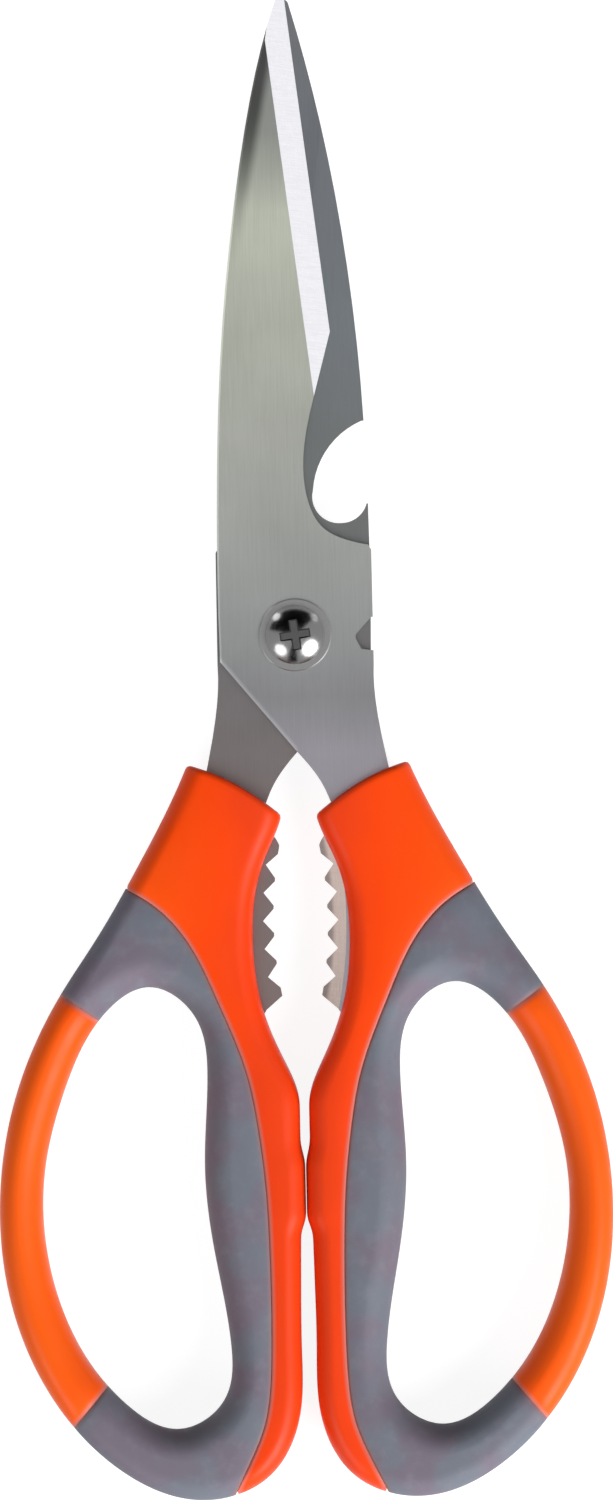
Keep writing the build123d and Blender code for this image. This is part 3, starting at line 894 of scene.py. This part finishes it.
@dataclass
class HandlePlan:
    """Outlines of the right handle seen from above, in millimetres around the pivot.

    Every outline runs clockwise: down the outer side, round the bottom and up the inner side.
    The pad has the heights where its swelling starts, is full, is still full and ends. A
    guide pairs a point of the rim with its partner on the opening, and the seam's ends are
    the partners of the two points where the seam meets the rim.
    """

    pivot_y: float = 15.65
    outer: tuple = (
        (12.61, -10.03), (15.49, -17.88), (22.69, -32.01), (28.66, -42.0), (34.02, -50.01),
        (40.58, -64.51), (42.9, -79.0), (41.4, -93.5), (35.52, -107.03), (26.98, -116.21),
        (15.49, -120.8), (5.92, -117.66), (1.5, -109.44), (1.02, -100.0), (0.94, -90.6),
        (0.64, -65.96),
    )
    throat: tuple = (
        (0.64, -65.96), (2.96, -58.95), (5.32, -53.03), (6.78, -42.04), (5.19, -32.01),
        (2.62, -25.97), (1.59, -17.03),
    )
    head_end: tuple = ((0.86, -26.46), (10.04, -19.99), (19.31, -16.79))
    opening: tuple = (
        (21.32, -48.92), (28.19, -53.03), (33.2, -62.21), (36.38, -73.45), (36.38, -86.01),
        (32.69, -97.97), (26.04, -107.03), (18.32, -110.89), (12.1, -107.03), (10.94, -99.06),
        (13.0, -86.01), (14.11, -74.05), (13.51, -61.0), (15.19, -53.03),
    )
    seam: tuple = (
        (27.71, -33.46), (19.86, -38.05), (15.14, -43.97), (12.31, -50.01), (9.78, -56.05),
        (7.81, -61.97), (6.65, -68.01), (5.62, -76.95), (5.23, -86.01), (5.19, -97.97),
        (5.41, -104.01), (6.31, -110.05), (8.28, -115.0), (10.51, -119.71), (12.18, -124.06),
    )
    upper_cut: tuple = ((26.0, -55.33), (29.64, -52.67), (38.01, -46.51))
    lower_cut: tuple = ((38.01, -115.97), (29.04, -105.46), (26.0, -101.96))
    seam_ends: tuple = ((25.0, -50.3), (14.6, -109.9))
    pad: tuple = (-70.6, -74.4, -81.0, -84.2)
    pad_face: float = 0.05
    pad_side: float = 3.0
    corner_softness: float = 1.1
    run_step: float = 0.5
    guides: tuple = (
        ((42.9, -79.0), (36.6, -76.5)), ((20.0, -120.4), (20.4, -110.7)),
        ((3.4, -114.0), (11.2, -104.8)), ((1.15, -101.0), (10.9, -98.5)),
        ((0.9, -89.0), (12.6, -88.0)), ((0.7, -77.5), (14.0, -77.5)),
        ((0.64, -66.5), (13.8, -67.5)), ((3.2, -58.4), (13.5, -61.5)),
        ((6.78, -42.0), (14.2, -55.0)), ((2.6, -25.6), (16.6, -51.2)),
        ((15.1, -17.9), (20.3, -49.15)),
    )
    side_run: np.ndarray = field(init=False)
    end_run: np.ndarray = field(init=False)
    rim: np.ndarray = field(init=False)
    hole: np.ndarray = field(init=False)
    seam_run: np.ndarray = field(init=False)

    def __post_init__(self) -> None:
        """Draw the outlines, move them to the frame of the part and soften the corners."""
        outer = smooth_curve(self.outer, finish=(0, 1))
        throat = smooth_curve(self.throat, start=(0, 1))
        side = self.with_pad(np.vstack([outer, throat[1:]]))
        end = smooth_curve(self.head_end)
        first, _, end_place = meeting(outer, end)
        last, throat_place, start_place = meeting(throat, end)
        top = int(np.argmin(np.linalg.norm(side - first, axis=1))) + 1
        bottom = len(outer) - 1 + int(throat_place)
        self.side_run = np.vstack([first, side[top:bottom + 1], last])
        middle = end[int(start_place) + 1:int(end_place) + 1]
        self.end_run = np.vstack([last, middle, first])
        sides = even(self.side_run, RING_STEP), even(self.end_run, RING_STEP)[1:-1]
        self.rim = self.softened(np.vstack(sides))
        self.hole = smooth_curve(self.opening, closed=True)
        self.seam_run = smooth_curve(self.seam)
        for run in (self.side_run, self.end_run, self.rim, self.hole, self.seam_run):
            run += self.shift
        self.side_run = even(self.side_run, self.run_step)
        self.end_run = even(self.end_run, self.run_step)

    @property
    def shift(self) -> np.ndarray:
        """Way from the pivot's frame to the frame of the part."""
        return np.array([0.0, self.pivot_y])

    def with_pad(self, run: np.ndarray) -> np.ndarray:
        """Swell the inner side towards the other handle where the two stop on each other.

        The outline is pulled to the pad's face by a share that eases from 0 to 1 and back
        along Y.

        Args:
            run: the outline of the side.

        Returns:
            The outline with the pad.
        """
        top, face_top, face_bottom, bottom = self.pad
        rise = np.clip((top - run[:, 1]) / (top - face_top), 0.0, 1.0)
        sink = np.clip((run[:, 1] - bottom) / (face_bottom - bottom), 0.0, 1.0)
        share = np.minimum(rise, sink)
        share = share * share * (3 - 2 * share) * (run[:, 0] < self.pad_side)
        swollen = run.copy()
        swollen[:, 0] += (self.pad_face - run[:, 0]) * share
        return swollen

    def softened(self, ring: np.ndarray) -> np.ndarray:
        """Round the corners of a closed, evenly spaced outline.

        Every point becomes the mean of the points within half the softness of it, which
        leaves slow curves where they are.

        Args:
            ring: the outline's points.

        Returns:
            The rounded outline.
        """
        half = int(round(self.corner_softness / RING_STEP / 2))
        shifts = np.arange(-half, half + 1)
        index = (np.arange(len(ring))[:, None] + shifts[None]) % len(ring)
        return ring[index].mean(axis=1)

    def crossing_pairs(self) -> dict:
        """Find where the cuts and the seam meet the rim and the opening.

        Returns:
            For each name, the point on the rim and the point on the opening.
        """
        rim = np.vstack([self.rim, self.rim[:1]])
        hole = np.vstack([self.hole, self.hole[:1]])
        pairs = {}
        for name, cut in (("upper", self.upper_cut), ("lower", self.lower_cut)):
            run = np.array(cut) + self.shift
            pairs[name] = (meeting(run, rim)[0], meeting(run, hole)[0])
        middle = len(self.seam_run) // 2
        halves = self.seam_run[:middle], self.seam_run[middle:]
        for name, half, partner in zip(("head", "tail"), halves, self.seam_ends):
            pairs[name] = (meeting(half, rim)[0], np.array(partner) + self.shift)
        return pairs


@dataclass
class Loop:
    """The handle's ring around the finger opening, as two parameters.

    The first parameter is a station: a straight line from a point of the opening to its
    partner on the rim. The second is the share of the way along that line.
    """

    plan: HandlePlan
    spacing: float = 0.55
    inside: np.ndarray = field(init=False)
    outside: np.ndarray = field(init=False)
    seam_share: np.ndarray = field(init=False)
    marks: dict = field(init=False)

    def __post_init__(self) -> None:
        """Pair the points of the rim and the opening, clockwise from the upper cut."""
        named = self.plan.crossing_pairs()
        pairs = [(None, *(np.array(ends) + self.plan.shift)) for ends in self.plan.guides]
        pairs += [(name, *ends) for name, ends in named.items()]
        rim_place = [self.place(self.plan.rim, pair[1]) for pair in pairs]
        hole_place = [self.place(self.plan.hole, pair[2]) for pair in pairs]
        rim_size, hole_size = len(self.plan.rim), len(self.plan.hole)
        first = [pair[0] for pair in pairs].index("upper")
        rim_at = (np.array(rim_place) - rim_place[first]) % rim_size
        hole_at = (np.array(hole_place) - hole_place[first]) % hole_size
        order = np.argsort(rim_at)
        rim_at = np.append(rim_at[order], rim_size)
        hole_at = np.append(hole_at[order], hole_size)
        names = [pairs[i][0] for i in order] + ["end"]
        steps = np.round(np.diff(rim_at) * RING_STEP / self.spacing)
        steps = np.maximum(2, steps.astype(int))
        knots = np.concatenate([[0], np.cumsum(steps)])
        stations = np.arange(knots[-1] + 1)
        rim_way = np.interp(stations, knots, rim_at) + rim_place[first]
        hole_way = np.interp(stations, knots, hole_at) + hole_place[first]
        self.outside = self.read(self.plan.rim, rim_way)
        self.inside = self.read(self.plan.hole, hole_way)
        self.marks = {name: int(knots[i]) for i, name in enumerate(names) if name}
        for name, (on_rim, on_hole) in named.items():
            self.outside[self.marks[name]] = on_rim
            if name in ("upper", "lower"):
                self.inside[self.marks[name]] = on_hole
        self.outside[-1], self.inside[-1] = self.outside[0], self.inside[0]
        self.seam_share = self.shares_at_seam()

    @staticmethod
    def place(ring: np.ndarray, spot: np.ndarray) -> int:
        """Index of the ring's point nearest to a spot."""
        return int(np.argmin(np.linalg.norm(ring - spot, axis=1)))

    @staticmethod
    def read(ring: np.ndarray, at: np.ndarray) -> np.ndarray:
        """Read a closed ring at fractional indices.

        Args:
            ring: the ring's points.
            at: fractional indices, which may run past the end.

        Returns:
            The points there.
        """
        size = len(ring)
        low = np.floor(at).astype(int)
        share = (at - low)[:, None]
        return ring[low % size] * (1 - share) + ring[(low + 1) % size] * share

    def shares_at_seam(self) -> np.ndarray:
        """Share of the way from the opening to the rim at which each station meets the seam.

        Every station's line is crossed with every piece of the seam; a station that meets
        none has share 1.

        Returns:
            One share for each station.
        """
        along, beside = crossings(self.inside, self.outside - self.inside, self.plan.seam_run)
        hit = (beside >= 0) & (beside <= 1) & (along > 0) & (along < 1)
        return np.where(hit, along, 1.0).min(axis=1)


@dataclass
class Moulding:
    """Turns shares across the loop into the closed skin of a core or a grip.

    A reach is how far in from an edge a round begins, and a depth is how far it falls there.
    """

    loop: Loop
    thickness: float = 10.5
    rim_reach: float = 2.5
    rim_depth: float = 3.0
    opening_reach: float = 4.0
    opening_depth: float = 4.8
    end_reach: float = 0.8
    end_depth: float = 0.9
    crown_reach: float = 7.0
    crown_depth: float = 0.45
    seam_reach: float = 0.34
    seam_depth: float = 0.24
    valley_reach: float = 3.0
    valley_depth: float = 0.3
    least_half: float = 0.4
    dense_reach: float = 1.25
    dense_share: float = 0.42
    least_width: float = 0.03
    edge_rows: int = 8
    middle_rows: int = 14
    wall_rows: int = 3
    rib_shares: tuple = (0.5, 0.8)
    rib_height_share: float = 0.35
    rib_run: int = 14

    def across(
        self, stations: np.ndarray, low: np.ndarray, high: np.ndarray, low_reach: float,
        high_reach: float,
    ) -> np.ndarray:
        """Places across the loop, dense where an edge is rounded.

        From either edge the places follow 1 - cos of even angles over the reach of the
        round, and the rest is divided evenly.

        Args:
            stations: indices of the stations.
            low: share at which each line starts.
            high: share at which each line ends.
            low_reach: reach of the round at the start, in millimetres.
            high_reach: reach of the round at the end.

        Returns:
            Points in the plane, a row of them for each station.
        """
        inside, outside = self.loop.inside[stations], self.loop.outside[stations]
        length = np.linalg.norm(outside - inside, axis=1)
        width = (high - low) * length
        most = self.dense_share * width
        near = np.minimum(low_reach * self.dense_reach, most)[:, None]
        far = np.minimum(high_reach * self.dense_reach, most)[:, None]
        bend = 1 - np.cos(np.linspace(0, pi / 2, self.edge_rows + 1))[None]
        even_share = np.linspace(0, 1, self.middle_rows + 2)[None, 1:-1]
        middle = near + (width[:, None] - near - far) * even_share
        gap = np.hstack([near * bend, middle, width[:, None] - (far * bend)[:, ::-1]])
        share = low[:, None] + gap / length[:, None]
        return inside[:, None] + share[..., None] * (outside - inside)[:, None]

    def heights(self, spots: np.ndarray) -> tuple:
        """Heights of the top and the bottom, and the distance to the seam.

        The top is the full thickness less the falls of the rounded edges, a slow crown along
        the rim, a shallow valley along the seam and a fine groove in it. The bottom has the
        edge rounds and the groove alone, so that it lies flat.

        Args:
            spots: places in the plane.

        Returns:
            Top heights, bottom heights and seam distances.
        """
        plan = self.loop.plan
        rim = distance(spots, plan.side_run)
        end = distance(spots, plan.end_run)
        hole = distance(spots, np.vstack([plan.hole, plan.hole[:1]])[::2])
        seam = distance(spots, plan.seam_run[::2])
        for cut in (plan.upper_cut, plan.lower_cut):
            seam = np.minimum(seam, distance(spots, np.array(cut) + plan.shift))
        rounds = fall(rim, self.rim_reach, self.rim_depth)
        rounds += fall(hole, self.opening_reach, self.opening_depth)
        rounds += fall(end, self.end_reach, self.end_depth)
        rounds += fall(seam, self.seam_reach, self.seam_depth)
        crown = self.crown_depth * np.clip(1 - rim / self.crown_reach, 0, 1) ** 2
        valley = self.valley_depth * np.clip(1 - seam / self.valley_reach, 0, 1) ** 2
        half = self.thickness / 2
        top = np.maximum(self.thickness - rounds - crown - valley, half + self.least_half)
        bottom = np.minimum(rounds, half - self.least_half)
        return top, bottom, seam

    def skin(
        self, stations: np.ndarray, low: np.ndarray, high: np.ndarray, low_reach: float,
        high_reach: float,
    ) -> tuple:
        """Closed skin over a run of stations.

        A cross-section goes out over the top, down the outer wall, back along the bottom and
        up the inner wall. The sections are carried along the stations, and flat caps close
        the two ends.

        Args:
            stations: indices of the stations.
            low: share at which each line starts.
            high: share at which each line ends.
            low_reach: reach of the round at the start.
            high_reach: reach of the round at the end.

        Returns:
            Vertices in millimetres, faces as lists of indices, and seam distances.
        """
        plane = self.across(stations, low, high, low_reach, high_reach)
        rows, columns, _ = plane.shape
        top, bottom, seam = self.heights(plane.reshape(-1, 2))
        top, bottom, seam = (part.reshape(rows, columns) for part in (top, bottom, seam))
        share = np.linspace(0, 1, self.wall_rows + 2)[1:-1]
        parts, gaps = [], []
        for edge, order in ((-1, share), (0, share[::-1])):
            level = top[:, [edge]] + (bottom[:, [edge]] - top[:, [edge]]) * order[None]
            flat = np.repeat(plane[:, [edge]], len(share), axis=1)
            parts.append(np.concatenate([flat, level[..., None]], axis=2))
            gaps.append(np.repeat(seam[:, [edge]], len(share), axis=1))
        upper = np.concatenate([plane, top[..., None]], axis=2)
        lower = np.concatenate([plane, bottom[..., None]], axis=2)[:, ::-1]
        ring = np.concatenate([upper, parts[0], lower, parts[1]], axis=1)
        gap = np.concatenate([seam, gaps[0], seam[:, ::-1], gaps[1]], axis=1)
        count = ring.shape[1]
        index = np.arange(rows * count).reshape(rows, count)
        around = np.roll(index, -1, axis=1)
        quads = np.stack([index[:-1], index[1:], around[1:], around[:-1]], axis=-1).reshape(-1, 4)
        faces = quads.tolist() + [index[0].tolist(), index[-1][::-1].tolist()]
        return ring.reshape(-1, 3), faces, gap.ravel()

    def rib(self, stations: np.ndarray) -> tuple:
        """Rib that runs hidden inside the grip and ties the parts of the core together.

        It is the skin between two shares of each line, with every height drawn towards the
        middle: z = middle + share * (z - middle).

        Args:
            stations: indices of the stations.

        Returns:
            Vertices, faces and seam distances, the last put past the reach of the seam.
        """
        low, high = (np.full(len(stations), share) for share in self.rib_shares)
        spots, faces, gap = self.skin(stations, low, high, self.end_reach, self.end_reach)
        middle = self.thickness / 2
        spots[:, 2] = middle + self.rib_height_share * (spots[:, 2] - middle)
        return spots, faces, gap + self.valley_reach


@dataclass
class Handle:
    """One moulded handle: hard core and soft grip."""

    side: Side
    moulding: Moulding
    plastic: Material
    rubber: Material

    def build(self) -> list:
        """Make both pieces, dress them and hang them on their body.

        Returns:
            The two objects.
        """
        core = self.piece("core", self.core_parts(), self.plastic, "core_plastic", "handle_core")
        grip = self.piece("grip", self.grip_parts(), self.rubber, "grip_rubber", "grip")
        return [core, grip]

    def core_parts(self) -> list:
        """Skins of the hard core: the head with the inner bar, the outer arc and two ribs.

        Returns:
            Skins as the moulding gives them.
        """
        loop, mould = self.moulding.loop, self.moulding
        marks = loop.marks
        outer = np.arange(marks["upper"], marks["lower"] + 1)
        ones = np.ones(len(outer))
        arc = mould.skin(outer, 0 * ones, ones, mould.opening_reach, mould.rim_reach)
        inner = np.arange(marks["tail"], marks["head"] + 1)
        share = loop.seam_share[inner]
        length = np.linalg.norm(loop.outside[inner] - loop.inside[inner], axis=1)
        wide = (1 - share) * length > mould.least_width
        inner, share = inner[wide], share[wide]
        bar = mould.skin(inner, share, np.ones(len(inner)), mould.seam_reach, mould.rim_reach)
        run = mould.rib_run
        upper = mould.rib(np.arange(marks["head"] - run, len(loop.inside)))
        lower = mould.rib(np.arange(marks["lower"], marks["tail"] + run + 1))
        return [arc, bar, upper, lower]

    def grip_parts(self) -> list:
        """Skin of the soft grip, from the lower cut round the inner side to the upper cut.

        Returns:
            Skins as the moulding gives them.
        """
        loop, mould = self.moulding.loop, self.moulding
        stations = np.arange(loop.marks["lower"], len(loop.inside))
        share = loop.seam_share[stations].copy()
        inner = (stations > loop.marks["tail"]) & (stations < loop.marks["head"])
        share[~inner] = 1.0
        return [mould.skin(stations, 0 * share, share, mould.opening_reach, mould.rim_reach)]

    def piece(self, word: str, parts: list, finish: Material, slot: str, node: str) -> Object:
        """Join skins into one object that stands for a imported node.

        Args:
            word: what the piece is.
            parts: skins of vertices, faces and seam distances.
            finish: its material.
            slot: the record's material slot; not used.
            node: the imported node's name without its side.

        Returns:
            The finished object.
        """
        sign = self.side.value
        spots, faces, gaps, start = [], [], [], 0
        for vertices, polygons, gap in parts:
            spots.append(vertices * np.array([sign, 1, 1]) * MM)
            gaps.append(gap)
            faces += [[i + start for i in polygon[::-sign]] for polygon in polygons]
            start += len(vertices)
        made = hang(f"{self.side.word}_{word}_moulding", np.vstack(spots), faces, finish)
        mesh = made.data
        attribute = mesh.attributes.new(SEAM_NAME, "FLOAT", "POINT")
        attribute.data.foreach_set("value", np.concatenate(gaps).astype(np.float32))
        mesh.polygons.foreach_set("use_smooth", [True] * len(mesh.polygons))
        mesh.set_sharp_from_angle(angle=radians(SHARP_DEGREES))
        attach(made, self.side.body)
        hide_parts(f"{self.side.word}_{node}")
        log.info("%s: %d faces", made.name, len(mesh.polygons))
        return made


def dressed(node: str, finish: Finish) -> Object:
    """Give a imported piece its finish.

    Args:
        node: the piece's name.
        finish: what it gets.

    Returns:
        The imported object.
    """
    piece = frame["nodes"][node]
    piece.data.materials[0] = finish.material()
    log.info("%s dressed", node)
    return piece


@dataclass
class Blades:
    """The two packed blades, dressed in ground steel with a painted reflection, painted shade and
    painted highlights.
    """

    # Tones along the front blade, a painted reflection of the surroundings.
    front_reflection_stops: tuple = (
        (-40.0, linear(140, 138, 144)), (-1.0, linear(143, 140, 147)), (7.0, linear(129, 129, 131)),
        (20.0, linear(145, 147, 146)), (37.0, linear(161, 163, 158)), (56.0, linear(174, 177, 166)),
        (75.0, linear(191, 195, 181)), (86.0, linear(153, 156, 150)), (105.0, linear(142, 142, 145)),
    )
    # Darker tones along the rear blade, a painted reflection with painted shade.
    rear_shaded_reflection_stops: tuple = (
        (-40.0, linear(116, 106, 104)), (-5.0, linear(117, 110, 110)), (20.0, linear(109, 109, 110)),
        (40.0, linear(114, 117, 117)), (60.0, linear(117, 122, 127)), (105.0, linear(124, 126, 130)),
    )
    # Line of the painted shade along the spine.
    spine_shade_line: tuple = (0.982, -0.189, -21.62)
    # Line of the painted highlight on the corner of the shank.
    corner_highlight_line: tuple = (0.771, 0.637, -0.455)

    def dress(self) -> list:
        """Give both blades their steel.

        Returns:
            The two packed objects.
        """
        # Near white bevel and jaw tones are painted highlights.
        front = GroundSteel(
            name="front_blade_steel", stops=self.front_reflection_stops, bevel=linear(245, 245, 250),
            jaw=linear(205, 188, 180), painted_shade_line=self.spine_shade_line, painted_highlight_line=self.corner_highlight_line,
        )
        rear = GroundSteel(
            name="rear_blade_steel", stops=self.rear_shaded_reflection_stops, bevel=linear(215, 215, 220),
            jaw=linear(190, 180, 176), jaw_centre=(51.8, -24.35), edge_angle=-6.7,
        )
        return [dressed("front_blade", front), dressed("rear_blade", rear)]


@dataclass
class Pivot:
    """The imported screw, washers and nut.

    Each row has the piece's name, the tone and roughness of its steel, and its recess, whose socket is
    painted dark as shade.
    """

    finishes: tuple = (
        ("pivot_screw", 0.2, 0.16, (9.1, 2.4)), ("head_washer", 0.3, 0.34, None),
        ("pivot_nut", 0.45, 0.2, None), ("spring_washer", 0.4, 0.3, None),
    )

    def dress(self) -> list:
        """Give the four pieces their steel.

        Returns:
            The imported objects.
        """
        return [dressed(row[0], PolishedSteel(f"{row[0]}_steel", *row[1:])) for row in self.finishes]


@dataclass
class Studio:
    """White surroundings, pale floor, soft lamps and a camera that looks straight down.

    A lamp has a name, a place in metres, a width in metres and a power in watts. A card has a
    name, and its limits in degrees around Z from +X and above the table.
    """

    centre: tuple = (1.287, -0.48)
    roll: float = 1.15
    view_height: float = 210.0
    focus_height: float = 6.5
    lens: float = 250.0
    sensor: float = 36.0
    clip: tuple = (0.05, 50.0)
    ambient: float = 0.14
    floor_half: float = 3.0
    floor_drop: float = 0.0002
    lamps: tuple = (
        ("left_lamp", (-0.75, -0.75, 0.6), 0.7, 6.4),
        ("right_lamp", (0.8, -0.7, 0.65), 1.0, 22.0),
        ("left_fill", (-0.7, 0.73, 0.22), 0.35, 1.0),
        ("right_fill", (0.75, 0.68, 0.22), 0.35, 0.4),
    )
    card_distance: float = 1.2
    card_grid: tuple = (13, 9)
    cards: tuple = (
        ("upper_card", (42.0, 166.0), (12.0, 80.0)),
        ("lower_card", (252.0, 274.0), (8.0, 62.0)),
    )
    hung: list = field(default_factory=list)

    def build(self) -> None:
        """Set up the view, the light and the floor."""
        bpy.context.scene.view_settings.view_transform = "Standard"
        self.camera()
        self.world()
        self.floor()
        dark = DarkCard(name="dark_card").material()
        for name, azimuth, elevation in self.cards:
            self.card(name, azimuth, elevation, dark)
        for name, place, size, power in self.lamps:
            self.lamp(name, place, size, power)
        log.info("studio ready")

    def camera(self) -> None:
        """Hang the camera over the middle of the view, turned by the roll."""
        data = bpy.data.cameras.new("camera")
        data.sensor_fit = "VERTICAL"
        data.sensor_height = self.sensor
        data.lens = self.lens
        data.clip_start, data.clip_end = self.clip
        away = self.lens / self.sensor * self.view_height + self.focus_height
        camera = bpy.data.objects.new("camera", data)
        camera.location = (self.centre[0] * MM, self.centre[1] * MM, away * MM)
        camera.rotation_euler = (0.0, 0.0, -radians(self.roll))
        bpy.context.scene.collection.objects.link(camera)
        bpy.context.scene.camera = camera

    def world(self) -> None:
        """White to look at, and softer as a light."""
        world = bpy.data.worlds.new("surroundings")
        world.use_nodes = True
        bpy.context.scene.world = world
        bench = NodeBench(world.node_tree)
        light = bench.add("Background")
        strength = bench.span(bench.seen(), 0.0, 1.0, self.ambient, 1.0, False)
        bench.feed(light, Color=(1.0, 1.0, 1.0), Strength=strength)
        bench.join(light.outputs[0], bench.add("OutputWorld").inputs[0])

    def floor(self) -> None:
        """Lay a wide pale sheet just under the handles."""
        edge = np.array([-self.floor_half, self.floor_half])
        x, y = np.meshgrid(edge, edge, indexing="ij")
        spots = np.stack([x, y, np.full_like(x, -self.floor_drop)], axis=-1).reshape(-1, 3)
        sheet = hang("floor", spots, [(0, 2, 3, 1)], PaleFloor(name="pale_floor").material())

    def card(self, name: str, azimuth: tuple, elevation: tuple, dark: Material) -> None:
        """Hang a dark curved card around the shears, seen only by reflections.

        The card is a patch of a sphere: one parameter is the azimuth and the other the
        elevation.

        Args:
            name: the card's name.
            azimuth: its two limits around Z.
            elevation: its two limits above the table.
            dark: its material.
        """
        limits = zip((azimuth, elevation), self.card_grid)
        turns = [np.radians(np.linspace(*ends, count)) for ends, count in limits]
        around, up = np.meshgrid(*turns, indexing="ij")
        way = [np.cos(around) * np.cos(up), np.sin(around) * np.cos(up), np.sin(up)]
        spots = self.card_distance * np.stack(way, axis=-1)
        index = np.arange(around.size).reshape(around.shape)
        corners = [index[:-1, :-1], index[:-1, 1:], index[1:, 1:], index[1:, :-1]]
        faces = np.stack(corners, axis=-1).reshape(-1, 4).tolist()
        card = hang(name, spots.reshape(-1, 3), faces, dark)
        card.visible_camera = card.visible_diffuse = card.visible_shadow = False
        card.visible_transmission = card.visible_volume_scatter = False

    def lamp(self, name: str, place: tuple, size: float, power: float) -> None:
        """Hang one soft round lamp that faces the middle of the shears.

        Args:
            name: the lamp's name.
            place: where it hangs.
            size: its width.
            power: its power.
        """
        data = bpy.data.lights.new(name, "AREA")
        data.shape = "DISK"
        data.size = size
        data.energy = power
        lamp = bpy.data.objects.new(name, data)
        x, y, z = place
        lamp.location = place
        lamp.rotation_euler = (np.arctan2(np.hypot(x, y), z), 0.0, np.arctan2(y, x) + pi / 2)
        bpy.context.scene.collection.objects.link(lamp)
        self.hung.append(lamp)

    def spare(self, pieces: list) -> None:
        """Keep the lamps off some pieces, which then mirror the white surroundings alone.

        Seen at a low angle from behind, the lamps' shine would burn flat steel out to white.

        Args:
            pieces: the objects to spare.
        """
        spared = bpy.data.collections.new("spared_by_lamps")
        for piece in pieces:
            spared.objects.link(piece)
        for entry in spared.collection_objects:
            entry.light_linking.link_state = "EXCLUDE"
        for lamp in self.hung:
            lamp.light_linking.receiver_collection = spared


def main() -> None:
    """Build the studio, the handles, the blades and the pivot, and note the sizes."""
    logging.basicConfig(level=logging.INFO, format="%(name)s: %(message)s")
    studio = Studio()
    studio.build()
    plastic = HardPlastic(name="orange_plastic").material()
    rubber = SoftRubber(name="grey_rubber").material()
    moulding = Moulding(loop=Loop(plan=HandlePlan()))
    for side in Side:
        Handle(side=side, moulding=moulding, plastic=plastic, rubber=rubber).build()
    studio.spare(Blades().dress())
    Pivot().dress()


if __name__ == "__main__":
    main()
